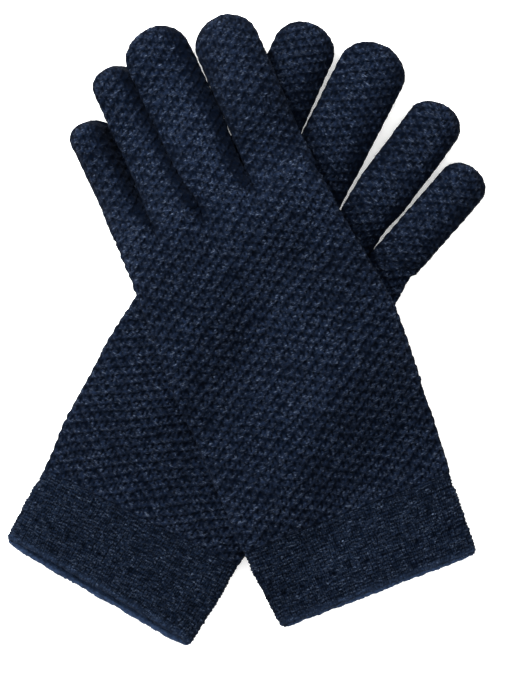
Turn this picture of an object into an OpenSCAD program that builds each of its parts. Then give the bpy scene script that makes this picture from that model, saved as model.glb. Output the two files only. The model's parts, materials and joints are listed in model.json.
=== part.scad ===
// Pair of knitted gloves lying crossed, backs of the hands up, thumbs folded under the palms.
// The right-hand glove lies on the table and the left-hand glove lies over it.
// X runs to the right, Y runs from the cuffs towards the fingertips, Z is up, the table is Z = 0.

/* [Cuff] */
// Height of the hemmed cuff
cuff_h = 33; // [24:1:45]
// Width of the cuff at its mouth, laid flat
cuff_w = 82; // [70:1:95]
// Thickness of the cuff as it lies
cuff_t = 10; // [9:0.5:14]
// Wall of the outer cuff band
band_wall = 1.3; // [1:0.1:1.8]
// Wall of the turned-in facing
facing_wall = 1.1; // [0.8:0.1:1.4]
// Height of the turned-in facing
facing_h = 28; // [18:1:40]
// How far the lower layer of the mouth shows past the upper one
mouth_peek = 2.6; // [0:0.2:5]
// Thickness of the linking chain inside the cuff seam
link_d = 1.2; // [0.8:0.1:1.6]

/* [Hand] */
// Length from the cuff's mouth to the finger roots
hand_len = 169; // [150:1:200]
// Width of the hand just above the cuff
wrist_w = 88; // [76:1:100]
// Width of the hand over the heel of the palm
heel_w = 91; // [80:1:104]
// Width of the palm at the thumb crotch
palm_w = 92; // [80:1:106]
// Extra width where the upper glove's gusset bulges out
gusset_bulge = 3.5; // [0:0.5:8]
// Thickness of the hand tube as it lies
hand_t = 9.5; // [8.5:0.5:13]
// Wall of the moss-stitch knit
knit_wall = 2; // [1.6:0.1:2.4]

/* [Fingers] */
// Width of the index finger
index_w = 25.4; // [20:0.2:31]
// Width of the middle finger
middle_w = 25.2; // [20:0.2:31]
// Width of the ring finger
ring_w = 21.4; // [18:0.2:26]
// Width of the little finger
little_w = 18.8; // [15:0.2:23]
// Length of the index finger
index_len = 68.5; // [55:0.5:85]
// Length of the middle finger
middle_len = 72.5; // [60:0.5:90]
// Length of the ring finger
ring_len = 63.5; // [50:0.5:78]
// Length of the little finger
little_len = 47; // [38:0.5:60]
// Thickness of a finger at its middle
finger_t = 12; // [11:0.5:16]
// Thickness of a finger at its root
root_t = 10; // [9:0.5:13]

/* [Thumb] */
// Width of the thumb
thumb_w = 21; // [17:0.5:26]
// Thickness of the thumb, folded under the palm
thumb_t = 8.5; // [7.5:0.5:10]
// Length of the thumb
thumb_len = 52; // [42:1:60]
// Distance from the cuff's mouth to the thumb's root
thumb_v = 96; // [84:1:106]
// Length of the gusset below the thumb
gusset_len = 38; // [28:1:46]

/* [Lay] */
// Where the left glove's cuff mouth is centred
left_at = [53, -105];
// Lean of the left glove, anticlockwise from +Y
left_lean = 20.9; // [10:0.1:35]
// Where the right glove's cuff mouth is centred
right_at = [-58, -105];
// Lean of the right glove, anticlockwise from +Y
right_lean = -26.5; // [-40:0.1:-15]
// Clearance between pieces that can move apart
clear = 0.4; // [0.3:0.05:0.8]
// Air between the two gloves where they cross
cross_gap = 1.2; // [0.8:0.1:2]
// How far the outer fingers tuck under their neighbours
tuck = 3.4; // [2:0.2:5]
// How much further the lower glove's fingers are drawn out
right_reach = 3.4; // [0:0.2:6]
// Slant of the lower glove's cuff mouth, in degrees
mouth_slant = 4.5; // [0:0.5:8]

/* [Hidden] */

navy = "#1d2a44";
navy_cuff = "#1a263e";
LEFT = 0;
RIGHT = 1;
glove_at = [left_at, right_at];
glove_lean = [left_lean, right_lean];
side = [1, -1];              // which way the thumb lies from the middle of the hand

hand_sides = 4 * round(palm_w / 11.5);   // facets round a hand or cuff, more on a wider hand
finger_sides = 16;           // facets round a finger
skin = 0.1;                  // gap between pieces sewn to each other
squareness = 3;              // a hand lies flatter than an ellipse
finger_squareness = 2.3;
flatness = 1.2;              // share by which the underside is pressed flat

// Levels: what a piece lies on
ON_TABLE = 0;                // the lower thumb, and the gusset under the lower palm
OVER_THUMB = 1;              // the lower glove, which lies on its own thumb
OVER_GLOVE = 2;              // the upper thumb and gusset, which lie on the lower glove
ON_TOP = 3;                  // the upper glove, which lies on its own thumb and the lower glove
thumb_gap = 1;               // air between the lower glove and the upper thumb
thumb_rise = thumb_t + 2 * clear;
thumb_ramp = 1.5 * thumb_rise;           // a thicker thumb raises the hand over a wider slope
hand_rise = max(hand_t, cuff_t) + cross_gap;
finger_rise = finger_t + cross_gap;
ramp_far = 40;               // how far out the upper glove comes down to the table, finger side
ramp_near = 28;              // the same on the side of its cuff

function smooth(t) = let (c = min(max(t, 0), 1)) c * c * (3 - 2 * c);
function ramp(a, b, x) = smooth((x - a) / (b - a));

// Plan position of a point that is u across and v along a glove, and the way back
function plan(g, u, v) =
    let (c = cos(glove_lean[g]), s = sin(glove_lean[g]))
    [glove_at[g].x + u * c - v * s, glove_at[g].y + u * s + v * c];
function within(g, p) =
    let (c = cos(glove_lean[g]), s = sin(glove_lean[g]), d = p - glove_at[g])
    [d.x * c + d.y * s, d.y * c - d.x * s];

// Fingers of one glove, from index to little: [root across, heading, root width, width, length, fold]
finger_gap = 1.2;
left_w = [index_w, middle_w, ring_w - tuck, little_w - tuck];
left_root_w = [index_w, middle_w - tuck, ring_w - tuck + 1, little_w - tuck];
right_w = [index_w, middle_w, ring_w, little_w];
right_root_w = [index_w, middle_w, ring_w - tuck - 1, little_w - tuck / 2];
finger_len = [index_len, middle_len, ring_len, little_len];
left_index_u = 24.3;         // across the left glove, the index finger's middle
right_index_u = -21;         // the same on the right glove
left_heading = [-1.5, -3.3, -4.4, -4.8];
right_heading = [-2.6, 0.3, 9.5, 15.4];
right_fold = [51, 36, 17, 6];
index_skew = 24;             // the covered index finger folds along the upper glove's edge

function upto(list, i) = i <= 0 ? 0 : list[i - 1] + upto(list, i - 1);
function left_u(i) =
    left_index_u + left_root_w[0] / 2 - upto(left_root_w, i) - i * finger_gap - left_root_w[i] / 2;
function right_u(i) =
    right_index_u - right_root_w[0] / 2 + upto(right_root_w, i) + i * finger_gap + right_root_w[i] / 2;

// The hand's two edges, across the glove, from the mouth to the finger roots
heel_v = cuff_h + 22;
palm_v = thumb_v + 4;
station_v = [0, cuff_h, heel_v, palm_v, hand_len];
left_sway = [1, -0.75, -0.6, -2.2];
right_sway = [-0.2, 2.6, 2.6, 5.4];
width_at = [cuff_w, wrist_w, heel_w, palm_w];
function low_edge(g) =
    [for (i = [0:3]) [station_v[i], (g == LEFT ? left_sway[i] : right_sway[i]) - width_at[i] / 2],
     [hand_len, g == LEFT ? left_u(3) - left_root_w[3] / 2 : right_u(0) - right_root_w[0] / 2]];
function high_edge(g) =
    [for (i = [0:3]) [station_v[i], (g == LEFT ? left_sway[i] : right_sway[i]) + width_at[i] / 2
        + (g == LEFT && i == 3 ? gusset_bulge : 0)],
     [hand_len, g == LEFT ? left_u(0) + left_root_w[0] / 2 : right_u(3) + right_root_w[3] / 2]];
edges_low = [low_edge(LEFT), low_edge(RIGHT)];
edges_high = [high_edge(LEFT), high_edge(RIGHT)];

// How far a hand is raised by the thumb folded under it
thumb_reach = thumb_v + thumb_len + 4;
function thumb_lift(g, q) =
    thumb_rise * ramp(-thumb_ramp, thumb_ramp, side[g] * q.x) * ramp(thumb_v - 56, thumb_v - 10, q.y)
    * (1 - ramp(thumb_reach, thumb_reach + 34, q.y));

// How far the upper glove is raised by the lower one, at a plan position
function glove_lift(p) =
    let (q = within(RIGHT, p),
         v = min(max(q.y, 0), hand_len),
         far = q.x - lookup(v, edges_low[RIGHT]),
         near = lookup(v, edges_high[RIGHT]) - q.x,
         share = ramp(-ramp_far, 6, far) * ramp(-ramp_near, 6, near),
         rise = hand_rise + (finger_rise - hand_rise) * ramp(hand_len - 20, hand_len + 8, q.y))
    share * (rise + thumb_lift(RIGHT, q));

function level_at(level, p) =
    level == ON_TABLE ? 0
    : level == OVER_THUMB ? thumb_lift(RIGHT, within(RIGHT, p))
    : level == OVER_GLOVE ? glove_lift(p) + thumb_gap
    : glove_lift(p) + thumb_lift(LEFT, within(LEFT, p)) * (thumb_rise + thumb_gap) / thumb_rise;

// Cross-section of a flattened tube: half-width a, half-thickness b, underside pressed flat
function section(sides, a, b, square) =
    [for (i = [0:sides - 1])
        let (c = cos(360 * i / sides), s = sin(360 * i / sides))
        [a * sign(c) * pow(abs(c), 2 / square),
         s >= 0 ? b * pow(s, 2 / square) : -b * min(1, flatness * pow(-s, 2 / square))]];

// One ring of points: centre u, v along glove g, heading of the tube, centre height z. Its lower side may
// reach further out by peek, and its edge may slant across the glove.
function ring(g, level, u, v, heading, z, sec, b, peek = 0, slant = 0) =
    [for (s = sec)
        let (drop = peek * (b - s.y) / (2 * b) + slant * s.x,
             p = plan(g, u + s.x * cos(heading), v - s.x * sin(heading) - drop))
        [p.x, p.y, z + s.y + level_at(level, p)]];

// Triangles between rings j and j + 1 of n points, starting at point k, facing out or in
function side_faces(n, m, k, out) =
    [for (j = [0:m - 2], i = [0:n - 1], h = [0, 1])
        let (a = k + j * n + i, b = k + j * n + (i + 1) % n, c = b + n, d = a + n)
        out ? (h == 0 ? [a, b, c] : [a, c, d]) : (h == 0 ? [a, c, b] : [a, d, c])];
function rim_faces(n, k_out, k_in, start) =
    [for (i = [0:n - 1], h = [0, 1])
        let (a = k_out + i, b = k_out + (i + 1) % n, c = k_in + (i + 1) % n, d = k_in + i)
        start ? (h == 0 ? [a, d, c] : [a, c, b]) : (h == 0 ? [a, b, c] : [a, c, d])];
function tip_faces(n, k, tip, out) =
    [for (i = [0:n - 1]) out ? [k + i, k + (i + 1) % n, tip] : [k + (i + 1) % n, k + i, tip]];
function mean(points) = [for (k = [0:2]) upto([for (p = points) p[k]], len(points)) / len(points)];

// A tube open at both ends, from its outer and its inner rings
module open_tube(outer, inner) {
    n = len(outer[0]);
    m = len(outer);
    polyhedron(
        [for (r = concat(outer, inner), p = r) p],
        concat(side_faces(n, m, 0, true), side_faces(n, m, m * n, false),
               rim_faces(n, 0, m * n, true), rim_faces(n, (m - 1) * n, (2 * m - 1) * n, false)));
}

// A tube open at its root and closed at its tip
module closed_tube(outer, inner) {
    n = len(outer[0]);
    m = len(outer);
    polyhedron(
        concat([for (r = concat(outer, inner), p = r) p], [mean(outer[m - 1]), mean(inner[m - 1])]),
        concat(side_faces(n, m, 0, true), side_faces(n, m, m * n, false),
               rim_faces(n, 0, m * n, true),
               tip_faces(n, (m - 1) * n, 2 * m * n, true),
               tip_faces(n, (2 * m - 1) * n, 2 * m * n + 1, false)));
}

// How far the lower layer shows at a mouth, and the slope of its edge
function mouth_drop(g) = g == RIGHT ? mouth_peek : mouth_peek / 4;
function mouth_turn(g) = g == RIGHT ? tan(mouth_slant) : 0;

// A stretch of the hand or cuff through the given stations, with inset skins at its outside and inside
module sleeve(g, level, stations, t1, outside, inside) {
    v0 = stations[0];
    v1 = stations[len(stations) - 1];
    function rings(inset) =
        [for (v = stations)
            let (lo = lookup(v, edges_low[g]), hi = lookup(v, edges_high[g]),
                 t = cuff_t + (t1 - cuff_t) * (v - v0) / (v1 - v0), b = t / 2 - inset,
                 near = max(1 - v / cuff_h, 0))
            ring(g, level, (lo + hi) / 2, v, 0, t / 2,
                 section(hand_sides, (hi - lo) / 2 - inset, b, squareness), b,
                 mouth_drop(g) * near, mouth_turn(g) * near)];
    open_tube(rings(outside), rings(inside));
}

// Finger rings: f = [glove, level, u, v, heading, root width, width, root thickness, thickness, length]
function finger_ring(f, s, inset, skew, shrink = 1) =
    let (grow = ramp(0, f[9] * 0.4, s),
         a = ((f[5] + (f[6] - f[5]) * grow) / 2 - inset) * shrink / cos(skew),
         half = (f[7] + (f[8] - f[7]) * grow) / 2,
         b = (half - inset) * shrink)
    ring(f[0], f[1], f[2] + s * sin(f[4]), f[3] + s * cos(f[4]), f[4] + skew, half,
         section(finger_sides, a, b, finger_squareness), b);
// Turn of a ring about the finger: square to the hand at its root, along the fold at its split
function skew_at(f, s, split, skew) =
    s < split ? -f[4] * (1 - s / split) + skew * s / split
    : let (from = split == 0 ? -f[4] : skew, straight = f[9] - cap_share * f[6])
      from * (1 - ramp(split, straight, s));
cap_share = 0.46;            // length of a rounded tip, as a share of the finger's width

// The free part of a finger from s0 to its rounded tip
module finger_tip(f, s0, split = 0, skew = 0) {
    cap = f[6] * cap_share;
    straight = f[9] - cap;
    function rings(inset) = concat(
        [for (k = [0:4])
            let (s = s0 + (straight - s0) * k / 4)
            finger_ring(f, s, inset, skew_at(f, s, split, skew))],
        [for (q = [22, 44, 62, 78])
            finger_ring(f, straight + (cap - inset) * sin(q), inset, 0, cos(q))]);
    closed_tube(rings(0), rings(knit_wall));
}

// The covered root of a finger, as far as its fold
module finger_root(f, s0, s1, skew = 0) {
    steps = max(2, round((s1 - s0) / 9));
    function rings(inset) =
        [for (k = [0:steps])
            let (s = s0 + (s1 - s0) * k / steps)
            finger_ring(f, s, inset, skew_at(f, s, s1 + skin, skew))];
    open_tube(rings(0), rings(knit_wall));
}

function left_finger(i) =
    [LEFT, ON_TOP, left_u(i), hand_len, left_heading[i], left_root_w[i], left_w[i], root_t, finger_t,
     finger_len[i]];
function right_finger(i) =
    [RIGHT, OVER_THUMB, right_u(i), hand_len, right_heading[i], right_root_w[i], right_w[i], root_t,
     finger_t, finger_len[i] + right_reach];

// The thumb lies under the palm, rooted in a gusset that tapers down towards the cuff
thumb_u = 31.5;
thumb_heading = 9;
gusset_start_w = 10;
function thumb(g) =
    [g, g == LEFT ? OVER_GLOVE : ON_TABLE, side[g] * thumb_u, thumb_v, -side[g] * thumb_heading,
     thumb_w, thumb_w, thumb_t, thumb_t, thumb_len];

module thumb_tube(g) {
    finger_tip(thumb(g), clear);
}

module gusset(g) {
    f = thumb(g);
    lean = 5;                // its point lies this much nearer the edge of the hand
    function rings(inset) =
        [for (k = [0:6])
            let (share = k / 6, taper = cos(84 * share),
                 a = (f[5] / 2 - inset) * taper, b = (f[7] / 2 - inset) * taper)
            ring(g, f[1], f[2] + side[g] * lean * share, thumb_v - (gusset_len - inset) * share, 180,
                 f[7] / 2 * taper, section(finger_sides, a, b, finger_squareness), b)];
    closed_tube(rings(0), rings(knit_wall * 0.8));
}

// The chain of loops that links the facing to the hand, a thin ring inside the wall
module link_ring(g, level) {
    near = 1 - facing_h / cuff_h;
    v = facing_h + skin + link_d / 2;
    lo = lookup(v, edges_low[g]);
    hi = lookup(v, edges_high[g]);
    depth = band_wall + 3 * skin + link_d / 2;
    b = cuff_t / 2 - depth;
    sides = 6;
    path = ring(g, level, (lo + hi) / 2, v, 0, cuff_t / 2,
                section(hand_sides, (hi - lo) / 2 - depth, b, squareness), b, mouth_drop(g) * near,
                mouth_turn(g) * near);
    n = hand_sides;
    along = concat(plan(g, 0, 1) - plan(g, 0, 0), [0]);
    polyhedron(
        [for (i = [0:n - 1])
            let (t = path[(i + 1) % n] - path[(i + n - 1) % n], out = cross(t, along) / norm(cross(t, along)))
            for (k = [0:sides - 1])
                path[i] + link_d / 2 * (cos(360 * k / sides) * out + sin(360 * k / sides) * along)],
        [for (i = [0:n - 1], k = [0:sides - 1], h = [0, 1])
            let (a = i * sides + k, b = i * sides + (k + 1) % sides,
                 c = ((i + 1) % n) * sides + (k + 1) % sides, d = ((i + 1) % n) * sides + k)
            h == 0 ? [a, b, c] : [a, c, d]]);
}

hand_steps = 14;
band_stations = [for (k = [0:4]) facing_h * k / 4];
module hand(g, level) {
    from = cuff_h + skin;
    sleeve(g, level, [for (k = [0:hand_steps]) from + (hand_len - from) * k / hand_steps], hand_t,
           0, knit_wall);
}

module cuff(g, level) {
    sleeve(g, level, concat(band_stations, [cuff_h]), cuff_t, 0, band_wall);
}

module facing(g, level) {
    sleeve(g, level, band_stations, cuff_t, band_wall + skin, band_wall + skin + facing_wall);
}

module right_hand() { color(navy) hand(RIGHT, OVER_THUMB); }
module right_thumb_gusset() { color(navy) gusset(RIGHT); }
module right_thumb() { color(navy) thumb_tube(RIGHT); }
module right_base(i) {
    color(navy) finger_root(right_finger(i), skin, right_fold[i], i == 0 ? index_skew : 0);
}
module right_free(i) {
    color(navy) finger_tip(right_finger(i), right_fold[i] + clear, right_fold[i], i == 0 ? index_skew : 0);
}
module right_index_base() { right_base(0); }
module right_index() { right_free(0); }
module right_middle_base() { right_base(1); }
module right_middle() { right_free(1); }
module right_ring_base() { right_base(2); }
module right_ring() { right_free(2); }
module right_little_base() { right_base(3); }
module right_little() { right_free(3); }
module right_cuff() { color(navy_cuff) cuff(RIGHT, OVER_THUMB); }
module right_cuff_facing() { color(navy_cuff) facing(RIGHT, OVER_THUMB); }
module right_cuff_link() { color(navy_cuff) link_ring(RIGHT, OVER_THUMB); }

module left_hand() { color(navy) hand(LEFT, ON_TOP); }
module left_thumb_gusset() { color(navy) gusset(LEFT); }
module left_thumb() { color(navy) thumb_tube(LEFT); }
module left_free(i) { color(navy) finger_tip(left_finger(i), clear); }
module left_index() { left_free(0); }
module left_middle() { left_free(1); }
module left_ring() { left_free(2); }
module left_little() { left_free(3); }
module left_cuff() { color(navy_cuff) cuff(LEFT, ON_TOP); }
module left_cuff_facing() { color(navy_cuff) facing(LEFT, ON_TOP); }
module left_cuff_link() { color(navy_cuff) link_ring(LEFT, ON_TOP); }

right_hand();
right_thumb_gusset();
right_thumb();
right_index_base();
right_index();
right_middle_base();
right_middle();
right_ring_base();
right_ring();
right_little_base();
right_little();
right_cuff();
right_cuff_facing();
right_cuff_link();
left_hand();
left_thumb_gusset();
left_thumb();
left_index();
left_middle();
left_ring();
left_little();
left_cuff();
left_cuff_facing();
left_cuff_link();
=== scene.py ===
import json
import math
import bpy
import numpy as np
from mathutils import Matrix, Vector


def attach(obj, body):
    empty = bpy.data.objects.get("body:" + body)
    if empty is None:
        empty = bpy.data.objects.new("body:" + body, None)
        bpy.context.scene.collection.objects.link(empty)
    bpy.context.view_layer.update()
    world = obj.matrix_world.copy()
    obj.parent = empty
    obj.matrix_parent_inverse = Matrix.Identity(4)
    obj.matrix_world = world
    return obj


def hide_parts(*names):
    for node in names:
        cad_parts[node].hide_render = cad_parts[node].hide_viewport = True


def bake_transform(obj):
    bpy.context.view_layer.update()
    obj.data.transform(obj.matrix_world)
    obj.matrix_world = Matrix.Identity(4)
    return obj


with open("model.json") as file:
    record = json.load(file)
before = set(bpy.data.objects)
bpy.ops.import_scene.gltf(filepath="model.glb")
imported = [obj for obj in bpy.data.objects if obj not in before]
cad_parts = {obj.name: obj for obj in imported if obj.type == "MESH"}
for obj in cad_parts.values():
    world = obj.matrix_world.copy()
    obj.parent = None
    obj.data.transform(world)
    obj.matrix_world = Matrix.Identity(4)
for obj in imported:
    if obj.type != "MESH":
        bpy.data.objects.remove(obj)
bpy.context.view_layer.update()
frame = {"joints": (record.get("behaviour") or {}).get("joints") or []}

# A pair of navy wool gloves, lying crossed. Shapes are worked out in millimetres and written in metres.
mm = 0.001
clothUnit = 10          # the cloth's own coordinates are in centimetres
clearOfTable = 0.03
hairHeight = 0.9        # stitch height that a stray fibre takes its colour from

# how the two gloves lie: u runs across a glove, v from its cuff's mouth to its fingertips
lay = {
    "left": {
        "at": (53, -105), "lean": 20.9, "thumbSide": 1,
        "lowEdge": (-41.6, -45.2, -46.1, -48.2, -48.6), "highEdge": (43.1, 44.3, 45.7, 47.4, 37),
        "peek": 1.6, "slant": 0,            # how far the mouth's lower layer shows; its slant in degrees
    },
    "right": {
        "at": (-58, -105), "lean": -26.5, "thumbSide": -1,
        "lowEdge": (-43.0, -42.0, -43.9, -41.5, -33.7), "highEdge": (42.4, 46.0, 48.1, 51.6, 56.4),
        "peek": 3.4, "slant": 3.7,
    },
}
hand = {
    "stations": (0, 33, 55, 100, 169), "cuffHeight": 33, "length": 169, "cornerBlend": 14,
    "thickness": 9.5, "cuffThickness": 10, "square": 3.0, "wall": 1.9, "inset": 0.45, "halfWidth": 45.5,
    # heights where the hand climbs over its thumb and over the other glove, and how far each slope reaches
    "thumbRise": 9.3, "thumbRamp": 13.95, "handRise": 11.2, "fingerRise": 13.2, "thumbGap": 1,
    "farRamp": 40, "nearRamp": 28, "rampInside": 6, "thumbStart": 96, "thumbEnd": 152,
    "beforeThumb": (56, 10), "afterThumb": 34, "fingerRamp": (20, 8),
    # the hand runs on a little way inside the finger roots, dipping under them; the last two set how far and
    # how dark painted shade runs down the hand from between the roots
    "overlap": 1.8, "sink": 1.3, "rootEase": 16, "grooveShadeLength": 11, "paintedGrooveDepth": 0.7,
}


def ramp(a, b, x):
    # 0 before a, 1 after b, and t*t*(3-2t) between them
    t = np.clip((x - a) / (b - a), 0, 1)
    return t * t * (3 - 2 * t)


def plan(glove, u, v):
    # place on the table = where the mouth is + u along the turned X + v along the turned Y
    g = lay[glove]
    c, s = math.cos(math.radians(g["lean"])), math.sin(math.radians(g["lean"]))
    return g["at"][0] + u * c - v * s, g["at"][1] + u * s + v * c


def within(glove, x, y):
    # the way back from the table to u and v
    g = lay[glove]
    c, s = math.cos(math.radians(g["lean"])), math.sin(math.radians(g["lean"]))
    dx, dy = x - g["at"][0], y - g["at"][1]
    return dx * c + dy * s, dy * c - dx * s


def edgeAt(glove, which, v):
    # the hand's edge: straight between its stations, averaged over cornerBlend so that no corner is left
    st, values = hand["stations"], lay[glove][which]
    slopeIn = (values[1] - values[0]) / (st[1] - st[0])
    slopeOut = (values[4] - values[3]) / (st[4] - st[3])
    st = (st[0] - 30,) + st + (st[4] + 30,)
    values = (values[0] - 30 * slopeIn,) + values + (values[4] + 30 * slopeOut,)
    v = np.asarray(v, float)
    reach = hand["cornerBlend"] / 2
    return np.mean([np.interp(v + d, st, values) for d in np.linspace(-reach, reach, 7)], axis=0)


def thumbLift(glove, u, v):
    # the thumb under the palm raises its side: rise * a ramp across * one up before it * one down past it
    across = ramp(-hand["thumbRamp"], hand["thumbRamp"], lay[glove]["thumbSide"] * u)
    start, end = hand["thumbStart"], hand["thumbEnd"]
    far, near = hand["beforeThumb"]
    before, past = ramp(start - far, start - near, v), ramp(end, end + hand["afterThumb"], v)
    return hand["thumbRise"] * across * before * (1 - past)


def gloveLift(x, y):
    # the upper glove climbs over the lower one: rise times a ramp from each of its edges
    u, v = within("right", x, y)
    held = np.clip(v, 0, hand["length"])
    far = u - np.interp(held, hand["stations"], lay["right"]["lowEdge"])
    near = np.interp(held, hand["stations"], lay["right"]["highEdge"]) - u
    inside = hand["rampInside"]
    share = ramp(-hand["farRamp"], inside, far) * ramp(-hand["nearRamp"], inside, near)
    extra = hand["fingerRise"] - hand["handRise"]
    before, after = hand["fingerRamp"]
    rise = hand["handRise"] + extra * ramp(hand["length"] - before, hand["length"] + after, v)
    return share * (rise + thumbLift("right", u, v))


def levelAt(level, x, y):
    # what a piece lies on: the table, its own thumb, the lower glove, or the lower glove and its own thumb
    if level == "table":
        return np.zeros_like(x)
    if level == "overThumb":
        return thumbLift("right", *within("right", x, y))
    if level == "overGlove":
        return gloveLift(x, y) + hand["thumbGap"]
    grown = (hand["thumbRise"] + hand["thumbGap"]) / hand["thumbRise"]
    return gloveLift(x, y) + grown * thumbLift("left", *within("left", x, y))


# the knit
knit = {
    "wale": 3.5, "row": 2.15,               # moss stitch, centre to centre
    "cuffWale": 1.9, "cuffRow": 1.45,       # the finer plain stitch of the cuff
    "relief": 1.2, "cuffRelief": 1.0,       # height from pit to crest
    "facingRelief": 0.25, "thumbRelief": 0.8,
    "level": 0.45, "fineLevel": 0.5,        # the stitch height that stays in place: moss stitch, others
    "sideRelief": 0.3, "underRelief": 0.35,   # share of it left where the surface turns down and underneath
    "paintedSideShade": 0.45,                      # share of the colour's stitch height left where the surface is upright: painted shade on the sides
    "sway": 0.25,                           # how uneven the stitches are, in stitches
    "fineStep": 0.46, "underStep": 0.9,     # grid on the upper and the under side of a finger
    "handStep": 0.5,                        # grid on a hand
}


def softNoise(x, y, seed):
    # random numbers at whole-number points, eased between them with t*t*(3-2t), and starting again every 128
    size = 128
    table = np.random.default_rng(seed).random((size, size))
    i, j = np.floor(x).astype(int), np.floor(y).astype(int)
    fx, fy = x - i, y - j
    fx, fy = fx * fx * (3 - 2 * fx), fy * fy * (3 - 2 * fy)
    i, j = i % size, j % size
    k, l = (i + 1) % size, (j + 1) % size
    low = table[i, j] * (1 - fx) + table[k, j] * fx
    high = table[i, l] * (1 - fx) + table[k, l] * fx
    return low * (1 - fy) + high * fy


def stitchTile(wale, row, moss, size=(112, 80)):
    # Heights over 2 wales and 2 rows. A yarn runs across = wale*(t/2pi + 0.14 sin 2t),
    # along = -0.86*row*cos t, out = -kind*depth*cos 2t*min(1, 1.7 sin(t/2)^2); kind is 1 for a plain stitch
    # and -1 for a purl one, and a moss stitch takes them in turn. The height is the highest yarn over each
    # point, out + sqrt(r*r - d*d), and a cosine of the place across the yarn draws its plies.
    radius = (0.38 if moss else 0.34) * row * (1.0 if moss else 1.25)
    depth = 0.5 * radius
    gx, gy = np.meshgrid((np.arange(size[0]) + 0.5) / size[0] * 2 * wale,
                         (np.arange(size[1]) + 0.5) / size[1] * 2 * row, indexing="ij")
    best = np.full(gx.shape, -radius)
    t = np.linspace(0, 2 * np.pi, 60, endpoint=False)
    for j in range(-2, 4):
        for i in range(-1, 3):
            kind = (-1.0) ** (i + j) if moss else 1.0
            px = wale * (i + t / (2 * np.pi)) + 0.14 * wale * np.sin(2 * t)
            py = row * (j + 0.5) - 0.86 * row * np.cos(t)
            pz = -kind * depth * np.cos(2 * t) * np.minimum(1, 1.7 * np.sin(t / 2) ** 2)
            d2 = (gx[..., None] - px) ** 2 + (gy[..., None] - py) ** 2
            tx, ty = np.gradient(px), np.gradient(py)
            span = np.hypot(tx, ty)
            off = ((gx[..., None] - px) * ty - (gy[..., None] - py) * tx) / span
            twist = 0.10 * radius * np.cos(t * 6 + 2.6 * off / radius)
            z = pz + np.sqrt(np.maximum(radius ** 2 - d2, 0)) + twist
            z = np.where(d2 < radius ** 2, z, -radius)
            best = np.maximum(best, z.max(axis=-1))
    best = (best + np.roll(best, 1, 0) + np.roll(best, -1, 0)
            + np.roll(best, 1, 1) + np.roll(best, -1, 1)) / 5
    low, high = np.percentile(best, 2), np.percentile(best, 99)
    return np.clip((best - low) / (high - low), 0, 1)


tiles = {"moss": stitchTile(knit["wale"], knit["row"], True),
         "plain": stitchTile(knit["cuffWale"], knit["cuffRow"], False)}
print("stitches drawn")


def sampleTile(tile, a, r):
    # the tile's height at a wales and r rows, straight-line weighted between its four nearest points
    nx, ny = tile.shape
    x, y = (a / 2 % 1) * nx - 0.5, (r / 2 % 1) * ny - 0.5
    i, j = np.floor(x).astype(int), np.floor(y).astype(int)
    fx, fy = x - i, y - j
    k, l = (i + 1) % nx, (j + 1) % ny
    i, j = i % nx, j % ny
    low = tile[i, j] * (1 - fx) + tile[k, j] * fx
    high = tile[i, l] * (1 - fx) + tile[k, l] * fx
    return low * (1 - fy) + high * fy


def stitchRelief(kind, a, r, seed):
    # the tile, with each stitch pushed aside a little and made a little prouder or flatter than the next
    sway = knit["sway"]
    across = a + sway * (softNoise(a * 0.9, r * 0.7, seed) - 0.5) * 2
    across = across + 0.25 * (softNoise(a / 9, r / 9, seed + 1) - 0.5)
    along = r + 1.2 * sway * (softNoise(a * 0.8, r * 0.8, seed + 2) - 0.5) * 2
    along = along + 0.6 * (softNoise(a / 11, r / 13, seed + 3) - 0.5)
    height = sampleTile(tiles[kind], across, along)
    proud = 0.62 + 0.76 * softNoise(a * 1.1 + 7, r * 1.1, seed + 4)
    frizz = 0.24 * (softNoise(a * 6.5, r * 4.2, seed + 5) - 0.5)
    return np.clip(height * proud + frizz, 0, 1.15)


# flattened tubes
def tubeSection(theta, a, b, square):
    # across = a*sign(cos)*|cos|^(2/square), up = b*sign(sin)*|sin|^(2/square); below, 1.2 times the second
    # power is cut off at 1, which presses the underside flat
    c, s = np.cos(theta), np.sin(theta)
    x = a * np.sign(c) * np.abs(c) ** (2 / square)
    z = np.where(s >= 0, b * np.abs(s) ** (2 / square), -b * np.minimum(1, 1.2 * np.abs(s) ** (2 / square)))
    return x, z


def evenAngles(a, b, square, topStep, underStep):
    # angles whose points lie evenly along the section, closer together on the upper side
    fine = 8000
    dense = np.linspace(0, 2 * np.pi, fine + 1)
    x, z = tubeSection(dense, a, b, square)
    run = np.concatenate([[0], np.cumsum(np.hypot(np.diff(x), np.diff(z)))])
    half, whole = run[fine // 2], run[-1]
    top = np.linspace(0, half, int(half / topStep) + 1)
    under = np.linspace(half, whole, int((whole - half) / underStep) + 1)[1:-1]
    arc = np.concatenate([top, under])
    return np.interp(arc, run, dense), arc, half, whole


def normalsOf(points):
    # each point's outward direction: the cross product of its two grid directions
    across = np.roll(points, -1, axis=1) - np.roll(points, 1, axis=1)
    along = np.gradient(points, axis=0)
    n = np.cross(along, across)
    return n / np.maximum(np.linalg.norm(n, axis=2, keepdims=True), 1e-9)


def reliefShare(out):
    # full relief on top, easing to sideRelief at the silhouette and underRelief below
    side, under = knit["sideRelief"], knit["underRelief"]
    return under + (side - under) * ramp(-0.5, 0, out[..., 2]) + (1 - side) * ramp(0, 0.6, out[..., 2])


def paintedSideShade(out):
    # painted shade on the sides: the colour's stitch height is kept whole on top and multiplied down to the
    # knit table's lowest share where the surface turns upright
    low = knit["paintedSideShade"]
    return low + (1 - low) * ramp(0, 0.9, out[..., 2])


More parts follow.
